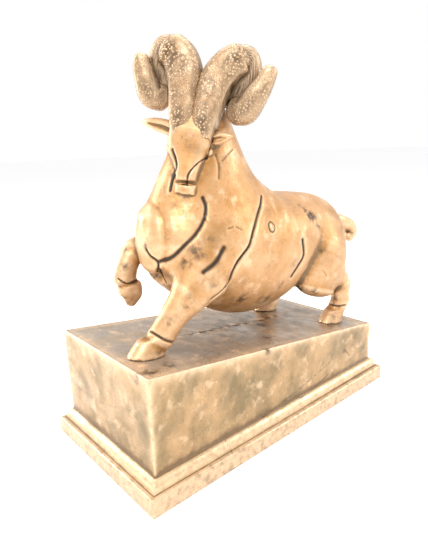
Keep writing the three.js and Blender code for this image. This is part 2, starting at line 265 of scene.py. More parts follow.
class Field:
    """Distances on a grid of points with uneven spacing, built up by blending forms into it."""

    def __init__(self, xs, ys, zs):
        self.axes = (xs, ys, zs)
        self.values = np.full((len(xs), len(ys), len(zs)), 50.0, np.float32)

    def window(self, low, high):
        return tuple(
            slice(max(np.searchsorted(axis, a) - 1, 0), np.searchsorted(axis, b) + 1)
            for axis, a, b in zip(self.axes, low, high))

    def points(self, window):
        grids = np.meshgrid(*(axis[part] for axis, part in zip(self.axes, window)), indexing="ij")
        return np.stack([g.ravel() for g in grids], axis=1)

    def blend(self, form, softness):
        """Joins a form on, with a fillet of about the given softness."""
        window = self.window(*form.box(softness + 4))
        old = self.values[window]
        new = form.distance(self.points(window)).reshape(old.shape).astype(np.float32)
        overlap = np.maximum(softness - np.abs(old - new), 0) / softness
        self.values[window] = np.minimum(old, new) - overlap**2 * softness / 4

    def carve(self, form, softness=1.0):
        """Takes a form away."""
        window = self.window(*form.box(softness + 2))
        old = self.values[window]
        new = -form.distance(self.points(window)).reshape(old.shape).astype(np.float32)
        overlap = np.maximum(softness - np.abs(old - new), 0) / softness
        self.values[window] = np.maximum(old, new) + overlap**2 * softness / 4

    def cut_below_plinth_top(self):
        """Keeps only what stands a gap above the plinth's top."""
        heights = self.axes[2][None, None, :] - top_height(self.axes[1])[None, :, None] - GAP
        self.values = np.maximum(self.values, -heights.astype(np.float32))

    def surface(self):
        """Vertices and four-sided faces of the zero surface, one vertex in each cell that it crosses."""
        inside = self.values < 0
        shape = tuple(n - 1 for n in inside.shape)
        corner = lambda a, dx, dy, dz: a[dx:dx + shape[0], dy:dy + shape[1], dz:dz + shape[2]]
        steps = [(dx, dy, dz) for dx in (0, 1) for dy in (0, 1) for dz in (0, 1)]
        count = sum(corner(inside, *s).astype(np.int8) for s in steps)
        cells = np.nonzero((count > 0) & (count < 8))
        index = np.full(shape, -1, np.int32)
        index[cells] = np.arange(len(cells[0]))
        value = {s: self.values[cells[0] + s[0], cells[1] + s[1], cells[2] + s[2]] for s in steps}
        total = np.zeros((len(cells[0]), 3))
        crossings = np.zeros(len(cells[0]))
        for a in steps:
            for axis in range(3):
                if a[axis]:
                    continue
                b = tuple(a[k] + (k == axis) for k in range(3))
                crosses = (value[a] < 0) != (value[b] < 0)
                share = np.where(crosses, value[a] / np.where(crosses, value[a] - value[b], 1), 0)
                for k in range(3):
                    total[:, k] += np.where(crosses, a[k] + (share if k == axis else 0), 0)
                crossings += crosses
        local = total / crossings[:, None]
        vertices = np.stack([
            axis[c] + local[:, k] * (axis[c + 1] - axis[c])
            for k, (axis, c) in enumerate(zip(self.axes, cells))], axis=1)
        return vertices, self.faces(inside, index)

    @staticmethod
    def faces(inside, index):
        """One face for each grid edge that the surface crosses, between the four cells round that edge."""
        faces = []
        for axis in range(3):
            one, two = [k for k in range(3) if k != axis]
            low = np.take(inside, range(inside.shape[axis] - 1), axis)
            high = np.take(inside, range(1, inside.shape[axis]), axis)
            edges = np.stack(np.nonzero(low != high), axis=1)
            limits = np.array(index.shape)
            kept = (edges[:, one] > 0) & (edges[:, two] > 0)
            kept &= (edges[:, one] < limits[one]) & (edges[:, two] < limits[two])
            edges = edges[kept]
            outward = low[tuple(edges.T)]
            around = []
            for back_one, back_two in ((1, 1), (0, 1), (0, 0), (1, 0)):
                cell = edges.copy()
                cell[:, one] -= back_one
                cell[:, two] -= back_two
                around.append(index[tuple(cell.T)])
            quads = np.stack(around, axis=1)
            turn = outward if axis != 1 else ~outward
            quads[~turn] = quads[~turn][:, ::-1]
            faces.append(quads)
        return np.vstack(faces)


def spaced(*stops):
    """Grid lines through start, step, stop, step, stop, and so on."""
    lines = [np.array([stops[0]])]
    for start, step, stop in zip(stops[0::2], stops[1::2], stops[2::2]):
        count = max(int(round((stop - start) / step)), 1)
        lines.append(np.linspace(start, stop, count + 1)[1:])
    return np.concatenate(lines)


def neighbours(faces):
    """Both ends of each edge of four-sided faces, counted both ways."""
    pairs = np.vstack([faces[:, [a, (a + 1) % 4]] for a in range(4)])
    return np.vstack([pairs, pairs[:, ::-1]])


def averaged(values, pairs, count):
    """Each vertex's mean of its neighbours' values."""
    weights = np.bincount(pairs[:, 0], minlength=count)
    columns = [np.bincount(pairs[:, 0], values[pairs[:, 1], k], count) for k in range(values.shape[1])]
    return np.stack(columns, axis=1) / np.maximum(weights, 1)[:, None]


def relaxed(vertices, faces, rounds=2, strength=0.5):
    """Evens out the steps of the grid, pushing back so that the form doesn't shrink."""
    pairs = neighbours(faces)
    for _ in range(rounds):
        for amount in (strength, -0.96 * strength):
            vertices = vertices + amount * (averaged(vertices, pairs, len(vertices)) - vertices)
    return vertices


def vertex_normals(vertices, faces):
    diagonal_one = vertices[faces[:, 2]] - vertices[faces[:, 0]]
    diagonal_two = vertices[faces[:, 3]] - vertices[faces[:, 1]]
    face_normals = np.cross(diagonal_one, diagonal_two)
    normals = np.zeros_like(vertices)
    for corner in range(4):
        for k in range(3):
            normals[:, k] += np.bincount(faces[:, corner], face_normals[:, k], len(vertices))
    return normals / np.maximum(np.linalg.norm(normals, axis=1), 1e-9)[:, None]


def bulge(vertices, faces, rounds):
    """How far each vertex stands out from its surroundings: positive on ridges, negative in hollows."""
    pairs = neighbours(faces)
    soft = vertices
    for _ in range(rounds):
        soft = averaged(soft, pairs, len(vertices))
    normals = vertex_normals(vertices, faces)
    return np.einsum("ij,ij->i", vertices - soft, normals)


def make_object(name, vertices, faces, attributes=None):
    """A smooth mesh object from vertices in millimetres."""
    mesh = bpy.data.meshes.new(name)
    mesh.from_pydata((vertices * MM).tolist(), [], faces.tolist())
    mesh.polygons.foreach_set("use_smooth", np.ones(len(mesh.polygons), bool))
    for label, values in (attributes or {}).items():
        layer = mesh.attributes.new(label, "FLOAT", "POINT")
        layer.data.foreach_set("value", np.asarray(values, np.float32))
    mesh.update()
    made = bpy.data.objects.new(name, mesh)
    bpy.context.scene.collection.objects.link(made)
    return made


# The ram's forms, with the same stations as the solid model


TRUNK = [
    (0, -108, 230, 18, 22),
    (2, -96, 229, 44, 42),
    (3, -70, 222, 58, 57),
    (2, -35, 212, 65, 68),
    (0, 10, 203, 68, 79),
    (0, 55, 203, 67, 74),
    (0, 98, 212, 61, 53),
    (0, 138, 206, 54, 52),
    (0, 168, 195, 45, 45),
    (0, 194, 189, 28, 32),
]

NECK = [
    (6, -40, 210, 57, 79),
    (6, -40, 232, 59, 82),
    (8, -40, 264, 51, 76),
    (12, -43, 293, 41, 59),
    (15, -45, 320, 32, 43),
    (17, -48, 346, 27, 31),
    (18, -50, 362, 22, 25),
]

LEFT_SHOULDER = [
    (26, -25, 268, 26, 28),
    (35, -50, 240, 26, 28),
    (43, -69, 212, 24, 25),
    (43, -80, 190, 22, 24),
]

RIGHT_SHOULDER = [
    (-26, -22, 268, 24, 24),
    (-35, -44, 240, 25, 24),
    (-42, -60, 216, 24, 24),
]

THIGH = [
    (30, 140, 212, 26, 42),
    (42, 127, 187, 28, 42),
    (47, 113, 161, 25, 42),
    (49, 106, 142, 18, 34),
]

TAIL = [
    (2, 196, 213, 8, 8),
    (3, 216, 213.5, 8, 8),
    (4, 233, 207, 8, 9),
    (4, 246.5, 200, 9, 10),
    (4, 251, 190, 10, 10),
    (4, 245, 182, 8, 8),
]


def hoof_form(x, y):
    """A hoof that widens to the ground, with its toe to the front."""
    ground = top_height(y)
    stations = [
        (x, y + 3, ground + 16, 10, 13),
        (x, y, ground + 10, 12, 16),
        (x, y - 3, ground, 14, 21),
        (x, y - 4, ground - 6, 14.5, 22),
    ]
    return Form(stations, heading=-Z_AXIS, dome=0.2)


def leg_forms():
    """The forms of the four legs with the softness of each joint."""
    standing = [
        (Form([(42, -80, 194, 24, 32), (44, -100, 176, 18, 21), (42, -113, 164, 15, 15.5),
               (38, -125, 148, 13, 14), (36, -131, 139, 13.5, 14.5)]), 9),
        (Form([(36, -131, 140, 11, 11), (34, -143, 124, 11, 13)]), 3),
        (hoof_form(34, -147), 4),
    ]
    raised = [
        (Form([(-40, -66, 211, 22, 30), (-42, -86, 212, 17, 21), (-42, -101, 215.5, 13.5, 14.5),
               (-42, -109.5, 213.5, 13, 13.5)]), 9),
        (Form([(-42, -112, 209, 13, 13), (-42, -119, 195, 12.5, 13), (-42, -121.5, 184, 12, 14)]), 4),
        (Form([(-42, -117, 184, 8, 8), (-42, -116.5, 176, 12, 14), (-42, -114, 165, 10.5, 13),
               (-42, -116, 154, 5, 6)], dome=0.6), 1),
    ]
    left_hind = [
        (Form(THIGH), 7),
        (Form([(50, 122, 166, 16, 20), (54, 139, 154, 14, 16), (55, 150, 145, 13, 13)]), 7),
        (Form([(55, 155, 140, 12, 14), (55, 153, 124, 10.5, 14.5), (54, 154, 112, 11, 16)]), 4),
        (Form([(54, 153, 112, 11, 12), (52, 145, 98, 11, 14)]), 3),
        (hoof_form(52, 137), 4),
    ]
    right_hind = [
        (Form([(-30, 140, 212, 26, 42), (-42, 130, 188, 27, 42), (-46, 120, 163, 22, 33),
               (-44, 118, 142, 13, 17)]), 8),
        (Form([(-44, 120, 146, 12, 15), (-42, 121, 126, 10.5, 12), (-40, 119, 113, 11, 13.5)]), 5),
        (Form([(-40, 117, 113, 11, 12), (-38, 110, 100, 11, 14)]), 3),
        (hoof_form(-38, 104), 4),
    ]
    return standing + raised + left_hind + right_hind


def head_forms():
    """Skull, face plate, muzzle, eyes and the low crown between the horns."""
    face = [
        on_head(0, -24, 12, 21, 22),
        on_head(-1, -20, -4, 22, 24),
        on_head(-1.5, -15, -20, 21, 20),
        on_head(1, -8, -36, 13.5, 15),
        on_head(2.5, -3, -50, 10, 12),
    ]
    lips = [on_head(3, -2, -52, 10.5, 11.5), on_head(3, -1, -61, 10.5, 10)]
    jaw = [on_head(2, -30, -14, 18, 18), on_head(3, -20, -36, 13, 14), on_head(3, -10, -54, 9, 9)]
    crown = [on_head(0, -26, 6, 12, 16), on_head(0, -28, 34, 9, 12), on_head(0, -29, 57, 6, 9)]
    temples = [on_head(-3, -34, -20, 25, 18), on_head(-3, -34, 4, 28, 20), on_head(-3, -34, 20, 23, 16)]
    return [
        (Form(temples, SIDEWAYS), 8),
        (Form(crown, SIDEWAYS), 5),
        (Form(jaw, SIDEWAYS, power=2.4), 4),
        (Form(face, SIDEWAYS, power=3.6, dome=0.1), 1.2),
        (Form(lips, SIDEWAYS, power=4, dome=0.15), 0.8),
        (ball(on_head(-20.5, -13, -20, 0, 0)[:3], (5, 5, 5)), 1.5),
        (ball(on_head(19, -10, -18, 0, 0)[:3], (4, 4, 4)), 1.2),
    ]


# Each ear is a leaf: its outer blade and the hollow cut in its front; the left ear also has the fold that lies in its
# hollow.
LEFT_EAR = [
    on_head(15, -17, -6, 6, 5),
    on_head(24, -15, -4, 7, 5),
    on_head(33, -12, -2, 5, 4),
    on_head(40, -9, 0, 1.6, 1.6),
]
LEFT_EAR_HOLLOW = [
    on_head(21, -10, -6.5, 2.6, 2.6),
    on_head(28, -8.5, -4.5, 3.4, 3),
    on_head(36, -7, -2, 1.2, 1.4),
]
LEFT_EAR_FOLD = [on_head(22, -13, -6.5, 1.3, 1.6), on_head(33, -10.5, -3, 1.1, 1.4)]
RIGHT_EAR = [
    on_head(-18, -22, -2, 7, 6),
    on_head(-34, -26, 0, 7.5, 5.5),
    on_head(-49, -30, 1.5, 5.5, 4.5),
    on_head(-60, -34, 1.5, 2, 2),
]
RIGHT_EAR_HOLLOW = [
    on_head(-26, -19.5, -3, 2.4, 2.4),
    on_head(-37, -21.5, -1, 2.8, 2.6),
    on_head(-52, -27, 1, 1.2, 1.4),
]

MOUTH = [on_head(-9, 10.5, -52, 0.9, 4.5), on_head(15, 10.5, -50.6, 0.9, 4.5)]


def body_mesh():
    """The ram without its horns, as vertices and faces. The grid is finest over the head."""
    xs = spaced(-80, 1.5, 2, 1.0, 78, 1.5, 80)
    ys = spaced(-175, 1.4, -125, 1.05, -40, 1.7, 268)
    zs = spaced(80, 1.5, 270, 1.0, 350, 1.3, 392)
    field = Field(xs, ys, zs)
    field.blend(Form(TRUNK, dome=0.3), 1)
    field.blend(Form(NECK, dome=0.4), 22)
    field.blend(Form(LEFT_SHOULDER), 5)
    field.blend(Form(RIGHT_SHOULDER), 14)
    for form, softness in leg_forms():
        field.blend(form, softness)
    field.blend(Form(TAIL), 5)
    for form, softness in head_forms():
        field.blend(form, softness)
    for ear, hollow in ((LEFT_EAR, LEFT_EAR_HOLLOW), (RIGHT_EAR, RIGHT_EAR_HOLLOW)):
        field.blend(Form(ear, UPWARD), 2)
        field.carve(Form(hollow, UPWARD), 0.8)
    field.blend(Form(LEFT_EAR_FOLD, UPWARD), 0.8)
    field.carve(Form(MOUTH, UPWARD), 0.5)
    field.cut_below_plinth_top()
    vertices, faces = field.surface()
    return relaxed(vertices, faces), faces


# Lines and marks on the surface. Places are pixels of the photograph, cast along the camera's sight lines;
# widths, depths and radii are millimetres.


class Cast:
    """A surface that sight lines can be cast onto."""

    def __init__(self, vertices, faces):
        self.tree = BVHTree.FromPolygons(vertices.tolist(), faces.tolist())

    def points(self, pixels, per_span=8):
        """The places on the surface seen along a line of pixels."""
        found = []
        for pixel_x, pixel_y in smooth_rows(pixels, per_span):
            hit, normal, index, far = self.tree.ray_cast(Vector(CAMERA_AT), Vector(sight_line(pixel_x, pixel_y)))
            if hit is not None:
                found.append(np.array(hit))
        return np.array(found)

    def point(self, pixel):
        return self.points([pixel, pixel], 1)[:1]


def nearness(vertices, places, width):
    """1 at the nearest of some places, falling to nothing a few widths away."""
    result = np.zeros(len(vertices))
    if not len(places):
        return result
    low = places.min(axis=0) - 3 * width
    high = places.max(axis=0) + 3 * width
    close = np.nonzero(((vertices > low) & (vertices < high)).all(axis=1))[0]
    nearest = np.full(len(close), 1e9)
    for place in places:
        nearest = np.minimum(nearest, ((vertices[close] - place) ** 2).sum(axis=1))
    result[close] = np.exp(-nearest / width**2)
    return result


# Creases, also darkened in colour with dark patina and painted shade, darkest in the shadow gap between face and
# neck: pixel line, width, depth.
BODY_CREASES = [
    ([(262, 196), (261, 205), (258, 215), (254, 230), (250, 245), (244, 254), (238, 262), (233, 272),
      (228, 284), (220, 293), (212, 299)], 1.7, 2.4),
    ([(203, 198), (206, 207), (204, 220), (196, 234), (184, 246), (172, 257), (160, 262)], 2.6, 1.3),
    ([(146, 250), (150, 256), (157, 262), (158, 270), (156, 276)], 1.6, 2.0),
    ([(160, 270), (163, 277), (166, 283)], 1.5, 1.6),
    ([(172, 150), (176, 165), (172, 180), (170, 190)], 2.2, 1.8),
    ([(303, 240), (304, 255), (299, 265), (292, 276)], 2.4, 1.6),
    ([(207, 158), (200, 162), (193, 168), (188, 175), (187, 185)], 1.0, 1.5),
    ([(212, 139), (211, 146), (207, 158)], 1.0, 1.2),
    ([(150, 331), (158, 336), (167, 341), (175, 343)], 1.3, 1.6),
    ([(118, 279), (127, 284), (138, 280)], 1.3, 1.8),
    ([(327, 303), (337, 306), (346, 305)], 1.3, 1.3),
    ([(233, 150), (228, 155), (222, 161)], 1.3, 0.6),
    ([(216, 155), (219, 166), (219, 178)], 2.2, 0.7),
    ([(224, 248), (216, 262), (204, 272)], 3.5, 1.2),
]

# The crease behind the right shoulder, on the side away from the camera.
FAR_SHOULDER_CREASE = [
    (-50, 5, 270), (-64, -16, 252), (-68, -33, 223), (-66, -46, 208), (-62, -52, 195), (-54, -58, 180)]
FAR_CREASE_WIDTH = 1.7
FAR_CREASE_DEPTH = 2.2

# Raised places: pixel line, width, height.
BODY_WELTS = [
    ([(152, 340), (160, 345), (168, 349), (174, 350)], 2.2, 0.7),
    ([(118, 283), (127, 288), (138, 284)], 1.6, 0.8),
    ([(167, 147), (170, 152), (173, 158)], 1.4, 0.8),
    ([(138, 214), (142, 219), (142, 225)], 5.0, 1.6),
]

# Dark patches, partly dark patina (the rump) and partly painted shade (under the belly and thigh, and in the gap
# between face and neck): pixel, radius, strength.
BODY_PATINA_AND_SHADE = [
    ((310, 214), 14, 0.85), ((300, 205), 9, 0.5), ((318, 226), 9, 0.6), ((322, 250), 10, 0.55),
    ((196, 252), 12, 0.6), ((186, 262), 9, 0.6), ((208, 240), 9, 0.45), ((176, 206), 10, 0.45),
    ((128, 250), 8, 0.6), ((125, 268), 8, 0.6), ((127, 300), 7, 0.7), ((146, 246), 8, 0.6),
    ((190, 300), 9, 0.55), ((187, 306), 5, 0.6), ((168, 322), 9, 0.45), ((160, 350), 8, 0.6),
    ((335, 300), 8, 0.6), ((332, 318), 8, 0.5), ((300, 288), 10, 0.7), ((315, 292), 9, 0.6),
    ((240, 300), 15, 0.6), ((265, 300), 15, 0.65), ((225, 160), 8, 0.5), ((216, 150), 6, 0.5),
    ((174, 176), 5, 0.9), ((350, 232), 8, 0.6), ((160, 190), 10, 0.45), ((184, 200), 8, 0.5),
    ((295, 262), 10, 0.4), ((280, 285), 10, 0.5), ((161, 272), 6, 0.7), ((214, 285), 8, 0.5),
]

# The round plug on the left flank: pixel, radius, and the small scars: pixel line.
PLUG_PIXEL = (272, 227)
PLUG_RADIUS = 5.6
SCARS = [
    [(228, 229), (233, 227)], [(236, 227), (242, 230)], [(272, 223), (274, 230)],
    [(204, 214), (208, 222)], [(323, 270), (327, 276)],
]


def ring(radius, width, distance):
    return np.exp(-((distance - radius) / width) ** 2)


def worked_body():
    """The body with its creases, welts, plug and scars, and the attributes that colour it."""
    vertices, faces = body_mesh()
    normals = vertex_normals(vertices, faces)
    cast = Cast(vertices, faces)
    groove_patina_and_shade = np.zeros(len(vertices))
    stain_and_shade = np.zeros(len(vertices))
    push = np.zeros(len(vertices))
    lines = [(cast.points(line), width, depth) for line, width, depth in BODY_CREASES]
    lines.append((smooth_rows(FAR_SHOULDER_CREASE, 16), FAR_CREASE_WIDTH, FAR_CREASE_DEPTH))
    lines += [(cast.points(line), 0.8, 0.6) for line in SCARS]
    # Creases and scars are pressed in and darkened: dark patina, with painted shade in the creases.
    for places, width, depth in lines:
        cut = nearness(vertices, places, width)
        push -= depth * cut
        groove_patina_and_shade = np.maximum(groove_patina_and_shade, cut * min(depth / 1.4, 1))
    for line, width, height in BODY_WELTS:
        push += height * nearness(vertices, cast.points(line), width)
    middle = cast.point(PLUG_PIXEL)[0]
    distance = np.linalg.norm(vertices - middle, axis=1)
    groove = ring(PLUG_RADIUS, 0.9, distance)
    push += 0.8 * np.clip(1.3 * (PLUG_RADIUS - distance) / PLUG_RADIUS, 0, 1) ** 0.5 - 0.9 * groove
    groove_patina_and_shade = np.maximum(groove_patina_and_shade, 0.8 * groove)
    # Dark patches: dark patina on the rump, and painted shade under the belly and thigh and between face and neck.
    for pixel, radius, strength in BODY_PATINA_AND_SHADE:
        stain_and_shade = np.maximum(stain_and_shade, strength * nearness(vertices, cast.point(pixel), radius))
    vertices = vertices + push[:, None] * normals
    return vertices, faces, {**wear(vertices, faces), "groove_patina_and_shade": groove_patina_and_shade, "stain_and_shade": stain_and_shade}


def wear(vertices, faces):
    """Ridges and hollows at a fine and a coarse scale, from 0 to 1."""
    fine = bulge(vertices, faces, 5) / 0.25
    coarse = bulge(vertices, faces, 45) / 1.6
    both = 0.5 * fine + 0.8 * coarse
    return {"ridge": np.clip(both, 0, 1), "hollow": np.clip(-both, 0, 1)}


def split_body(vertices, faces, attributes):
    """The body in three pieces that share their borders and their shading: head, front and rear."""
    normals = vertex_normals(vertices, faces)
    middle = vertices[faces].mean(axis=1)
    head = middle[:, 2] > 262
    front = ~head & (middle[:, 1] < -5)
    pieces = []
    for name, chosen in (("ram_head", head), ("ram_front", front), ("ram_rear", ~head & ~front)):
        used, remapped = np.unique(faces[chosen], return_inverse=True)
        own = {label: values[used] for label, values in attributes.items()}
        piece = make_object(name, vertices[used], remapped.reshape(-1, 4), own)
        piece.data.normals_split_custom_set_from_vertices(normals[used].tolist())
        pieces.append(piece)
    return pieces


# Horns


LEFT_HORN = [
    [(9.5, -10, -6, 13, 11), (11.5, -13, 14, 15, 13.5), (13.5, -17, 32, 15, 15), (17, -21, 50, 15, 16.5),
     (25, -26, 63.5, 15, 16.5), (34, -30, 71, 15, 16)],
    [(30, -30, 68, 14, 14), (39, -34, 70, 14, 15), (43, -37, 57, 14, 14), (41.5, -38, 44, 13, 14),
     (37, -38, 31, 13, 14)],
    [(39.5, -30, 24, 14, 13.5), (48.5, -23, 26, 13, 13), (56.5, -20, 40, 11.5, 11.5), (62, -20, 52, 9.5, 9.5),
     (66, -20, 63.5, 7.5, 7.5)],
]
RIGHT_HORN = [
    [(-9.5, -10, -6, 13, 11), (-11.5, -13, 14, 15, 13.5), (-13.5, -17, 32, 15, 15), (-16, -21, 50, 15, 17.5),
     (-23.5, -26, 65, 15, 17.5), (-34, -30, 73, 15, 16.5)],
    [(-30, -31, 71, 14, 14), (-40, -35, 71.5, 14, 15), (-45, -38, 59, 14, 14.5), (-43, -39, 46, 13, 14.5),
     (-38, -39, 34, 13, 14)],
    [(-41, -30, 27, 14, 13), (-49.5, -23, 29.5, 13, 13), (-55.5, -20, 42, 11.5, 11), (-60, -20, 52, 9.5, 9.5),
     (-62.5, -20, 61, 7.5, 7.5)],
]
HORN_STEP = 0.9
HORN_POWER = 3.4


def step_up(values, low, high):
    return np.clip((values - low) / (high - low), 0, 1)


def horn_mesh(runs, way):
    """One horn with its attributes: way is 1 on the ram's left and -1 on its right."""
    powers = (HORN_POWER, HORN_POWER, 2.6)
    forms = [Form([on_head(*station) for station in run], FORWARD, power=power, per_span=6)
             for run, power in zip(runs, powers)]
    boxes = [form.box(4) for form in forms]
    low = np.min([box[0] for box in boxes], axis=0)
    high = np.max([box[1] for box in boxes], axis=0)
    field = Field(*(np.arange(a, b, HORN_STEP) for a, b in zip(low, high)))
    for form in forms:
        field.blend(form, 1.2)
    vertices, faces = field.surface()
    vertices = relaxed(vertices, faces)
    normals = vertex_normals(vertices, faces)
    gaps = np.stack([form.distance(vertices) for form in forms])
    nearest = gaps.argmin(axis=0)
    places = [form.place_on(vertices) for form in forms]
    travel = np.choose(nearest, [place[0] for place in places])
    lateral = np.choose(nearest, [place[1] for place in places])
    facing = normals @ FORWARD
    outward = normals @ (way * SIDEWAYS)
    smooth = np.choose(nearest, [
        step_up(outward, 0.6, 0.8),
        step_up(facing, 0.2, 0.45),
        step_up(-outward, 0.35, 0.65) * step_up(facing, -0.6, -0.2),
    ])
    attributes = {"pebble": 1 - smooth, "travel": travel, "lateral": lateral, "groove_patina_and_shade": np.zeros(len(vertices)),
                  "stain_and_shade": np.zeros(len(vertices)), **wear(vertices, faces)}
    return vertices, faces, attributes


# Plinth


CORNER_RADIUS = 1.5
CORNER_STEPS = 4
POINT_SPACING = 1.8
BORDER = 3.2

# The side's profile from the underside to the top's edge: outset from the block, height above the ground.
FOOT_PROFILE = [
    (13, 0), (13, 1.5), (13.2, 6), (13, 12), (13, 15.5), (12.4, 17.2), (11, 18), (9, 18.2), (7.4, 18.2),
    (6.9, 18.6), (6.8, 20.4), (6.3, 23), (5.2, 25.6), (3.4, 27.8), (1.4, 29), (0.5, 29.3), (0.1, 30),
]
# Where the top's border lies: inset from the block, drop below the top.
TOP_PROFILE = [(0, 1.0), (0.35, 0.35), (1.0, 0), (2.2, 0), (2.9, 0.35), (3.3, 0.6), (4.2, 0.35), (6, 0.15)]
TOP_RINGS = 34


def outline(outset):
    """The block's outline moved out by a distance, walked round with even spacing. The corners are small arcs."""
    half_width = BLOCK_WIDTH / 2 - CORNER_RADIUS
    half_length = BLOCK_LENGTH / 2 - CORNER_RADIUS
    radius = CORNER_RADIUS
    points = []
    corners = [(1, 1), (-1, 1), (-1, -1), (1, -1)]
    for quarter, (sign_x, sign_y) in enumerate(corners):
        corner = np.array([sign_x * (half_width + outset), sign_y * (half_length + outset)])
        if outset < 0:
            corner = np.array([sign_x * max(half_width + outset, 0.4), sign_y * (half_length + outset)])
        for k in range(CORNER_STEPS + 1):
            angle = (quarter + k / CORNER_STEPS) * math.pi / 2
            points.append(corner + radius * np.array([math.cos(angle), math.sin(angle)]) * (outset > -84))
        follow_x, follow_y = corners[(quarter + 1) % 4]
        end = np.array([follow_x * (half_width + outset), follow_y * (half_length + outset)])
        if outset < 0:
            end = np.array([follow_x * max(half_width + outset, 0.4), follow_y * (half_length + outset)])
        side_length = BLOCK_WIDTH if quarter % 2 == 0 else BLOCK_LENGTH
        turn = (quarter + 1) * math.pi / 2
        offset = radius * np.array([math.cos(turn), math.sin(turn)]) * (outset > -84)
        count = int(side_length / POINT_SPACING)
        for share in np.arange(1, count) / count:
            points.append(corner * (1 - share) + end * share + offset)
    return np.array(points)


def wobble(points, length, seed):
    """A smooth uneven value between about -1 and 1 that changes over the given length."""
    x, y, z = (points / length).T
    return (np.sin(1.7 * x + 2.3 * y + seed) + np.sin(2.9 * y - 1.3 * z + 2 * seed)
            + np.sin(2.1 * z + 3.1 * x + 3 * seed) + np.sin(1.1 * x - 3.7 * y + 1.9 * z)) / 4


def plinth_mesh():
    """The plinth as rings of points from the underside up the profile and in over the top."""
    rings = []
    parts = []
    foot = [(outset, lambda y, z=z: np.full_like(y, z), 1.0 if z < 18.1 else 0.5) for outset, z in FOOT_PROFILE]
    side_rows = int((TOP_HEIGHT - 30) / POINT_SPACING)
    side = [(0, lambda y, s=s: 30 + (top_height(y) - 1.0 - 30) * s, 0.0) for s in np.arange(1, side_rows) / side_rows]
    edge = [(-inset, lambda y, d=drop: top_height(y) - d, -1.0) for inset, drop in TOP_PROFILE]
    insets = 6 + (84.5 - 6) * (np.arange(1, TOP_RINGS + 1) / TOP_RINGS)
    top = [(-inset, top_height, -1.0) for inset in insets]
    for outset, height, part in foot + side + edge + top:
        flat = outline(outset)
        rings.append(np.column_stack([flat, height(flat[:, 1])]))
        parts.append(np.full(len(flat), part))
    count = len(rings[0])
    vertices = np.vstack(rings)
    part = np.concatenate(parts)
    index = np.arange(len(vertices)).reshape(len(rings), count)
    after = np.roll(index, -1, axis=1)
    quads = np.stack([index[:-1], after[:-1], after[1:], index[1:]], axis=2).reshape(-1, 4)
    # The underside and the middle seam of the top are closed by strips between opposite points.
    half = count // 2
    closing = []
    for row, turned in ((0, True), (len(rings) - 1, False)):
        base = row * count
        for k in range(half - 1):
            strip = [base + k, base + k + 1, base + count - 2 - k, base + count - 1 - k]
            closing.append(strip[::-1] if turned else strip)
    return vertices, np.vstack([quads, np.array(closing)]), part


# Scratches on the plinth: pixel line, width, depth.
PLINTH_SCRATCHES = [
    ([(262, 418), (285, 400), (310, 380), (336, 357)], 0.9, 0.35),
    ([(300, 398), (318, 384), (330, 372)], 0.9, 0.25),
    ([(225, 440), (232, 452), (238, 462)], 0.9, 0.3),
    ([(345, 350), (350, 356)], 1.0, 0.4),
    ([(70, 380), (100, 402), (130, 410)], 0.9, 0.25),
]
# Dark marks on the plinth, partly stains and partly painted shadow of the belly and hooves on the top: pixel, radius,
# strength.
PLINTH_STAINS_AND_SHADOWS = [
    ((262, 312), 12, 0.9), ((262, 325), 10, 0.9), ((265, 338), 9, 0.8), ((268, 350), 8, 0.65), ((250, 316), 9, 0.6),
    ((150, 372), 12, 0.7), ((135, 378), 10, 0.6), ((170, 365), 10, 0.6), ((330, 326), 9, 0.6), ((341, 322), 8, 0.5),
    ((345, 350), 8, 0.5), ((352, 342), 6, 0.5), ((240, 430), 8, 0.35), ((300, 375), 7, 0.3), ((120, 352), 10, 0.35),
    ((60, 350), 8, 0.3), ((40, 410), 9, 0.3), ((180, 450), 9, 0.3),
]


def worked_plinth():
    """The plinth, slightly uneven, with its scratches, its stains and the painted shadow of the ram's belly and
    hooves.
    """
    vertices, faces, part = plinth_mesh()
    normals = vertex_normals(vertices, faces)
    cast = Cast(vertices, faces)
    stain_and_shade = np.zeros(len(vertices))
    groove_patina_and_shade = np.zeros(len(vertices))
    push = 0.25 * wobble(vertices, 28, 1) + 0.12 * wobble(vertices, 9, 2)
    push = np.where(vertices[:, 2] < 1, 0, push)
    for line, width, depth in PLINTH_SCRATCHES:
        cut = nearness(vertices, cast.points(line, 24), width)
        push -= depth * cut
        groove_patina_and_shade = np.maximum(groove_patina_and_shade, 0.6 * cut)
    # Stains, and painted shadow of the belly and hooves on the top.
    for pixel, radius, strength in PLINTH_STAINS_AND_SHADOWS:
        stain_and_shade = np.maximum(stain_and_shade, strength * nearness(vertices, cast.point(pixel), radius))
    vertices = vertices + push[:, None] * normals
    slab = (part > 0.9).astype(float)
    top = (part < -0.5).astype(float)
    return vertices, faces, {**wear(vertices, faces), "groove_patina_and_shade": groove_patina_and_shade, "stain_and_shade": stain_and_shade, "slab": slab, "top": top}


# Materials


TAN = (0.50, 0.27, 0.115, 1)
PALE = (0.72, 0.50, 0.31, 1)
OCHRE = (0.36, 0.17, 0.045, 1)
UMBER = (0.14, 0.085, 0.04, 1)
BLACK_BROWN = (0.022, 0.014, 0.008, 1)
ASH = (0.27, 0.23, 0.19, 1)
OLIVE = (0.20, 0.14, 0.065, 1)


